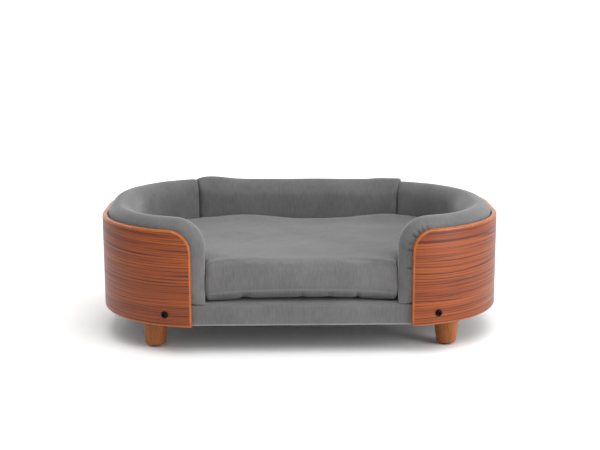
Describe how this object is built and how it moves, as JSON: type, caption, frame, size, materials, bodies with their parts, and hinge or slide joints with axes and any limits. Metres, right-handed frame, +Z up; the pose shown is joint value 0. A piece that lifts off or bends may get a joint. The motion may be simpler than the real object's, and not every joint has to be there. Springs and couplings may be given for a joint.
{
  "type": "dog bed with frame",
  "caption": "Oval pet sofa: a bent plywood shell, open at the front, round an upholstered base on four turned wooden legs, with loose bolsters and a loose seat cushion.",
  "frame": {"origin": "on the floor, under the middle of the bed", "axes": "+X to the bed's right as seen from its open front, +Y to the back, +Z up"},
  "size_m": [0.7, 0.4389, 0.237],
  "materials": {
    "veneer": "satin",
    "birch_ply": "matte",
    "leg_wood": "satin",
    "grey_fabric": "matte",
    "foam": "matte",
    "fibre_fill": "matte",
    "dust_cloth": "matte",
    "black_steel": "gloss",
    "zinc_steel": "satin",
    "glide_pad": "matte",
    "zip_tape": "matte"
  },
  "bodies": {
    "frame": {"bent_shell": "veneer", "front_rail": "birch_ply", "back_rail": "birch_ply", "centre_rail": "birch_ply", "left_end_rail": "birch_ply", "right_end_rail": "birch_ply", "corner_block_front_left": "birch_ply", "corner_block_front_right": "birch_ply", "corner_block_back_left": "birch_ply", "corner_block_back_right": "birch_ply", "deck_board": "birch_ply", "deck_foam": "foam", "base_cover": "grey_fabric", "dust_cover": "dust_cloth", "leg_front_left": "leg_wood", "hanger_bolt_front_left": "zinc_steel", "tee_nut_front_left": "zinc_steel", "glide_front_left": "glide_pad", "shell_bolt_front_left": "black_steel", "threaded_insert_front_left": "zinc_steel", "leg_front_right": "leg_wood", "hanger_bolt_front_right": "zinc_steel", "tee_nut_front_right": "zinc_steel", "glide_front_right": "glide_pad", "shell_bolt_front_right": "black_steel", "threaded_insert_front_right": "zinc_steel", "leg_back_left": "leg_wood", "hanger_bolt_back_left": "zinc_steel", "tee_nut_back_left": "zinc_steel", "glide_back_left": "glide_pad", "shell_bolt_back_left": "black_steel", "threaded_insert_back_left": "zinc_steel", "leg_back_right": "leg_wood", "hanger_bolt_back_right": "zinc_steel", "tee_nut_back_right": "zinc_steel", "glide_back_right": "glide_pad", "shell_bolt_back_right": "black_steel", "threaded_insert_back_right": "zinc_steel"},
    "left_bolster": {"left_bolster_cover": "grey_fabric", "left_bolster_foam": "foam", "left_bolster_board": "birch_ply"},
    "right_bolster": {"right_bolster_cover": "grey_fabric", "right_bolster_foam": "foam", "right_bolster_board": "birch_ply"},
    "back_bolster": {"back_bolster_cover": "grey_fabric", "back_bolster_foam": "foam", "back_bolster_board": "birch_ply"},
    "seat_cushion": {"seat_cushion_cover": "grey_fabric", "seat_cushion_fill": "fibre_fill", "zip_tape": "zip_tape"},
    "zip_slider": {"zip_slider": "black_steel"}
  },
  "joints": [
    {"name": "seat_cushion_lift", "type": "slide", "parent": "frame", "child": "seat_cushion", "axis": [0, 0, 1], "range_m": [0, 0.2]},
    {"name": "back_bolster_lift", "type": "slide", "parent": "frame", "child": "back_bolster", "axis": [0, 0, 1], "range_m": [0, 0.16]},
    {"name": "left_bolster_lift", "type": "slide", "parent": "frame", "child": "left_bolster", "axis": [0, 0, 1], "range_m": [0, 0.16]},
    {"name": "right_bolster_lift", "type": "slide", "parent": "frame", "child": "right_bolster", "axis": [0, 0, 1], "range_m": [0, 0.16]},
    {"name": "zip_slide", "type": "slide", "parent": "seat_cushion", "child": "zip_slider", "axis": [-1, 0, 0], "range_m": [0, 0.262]}
  ]
}
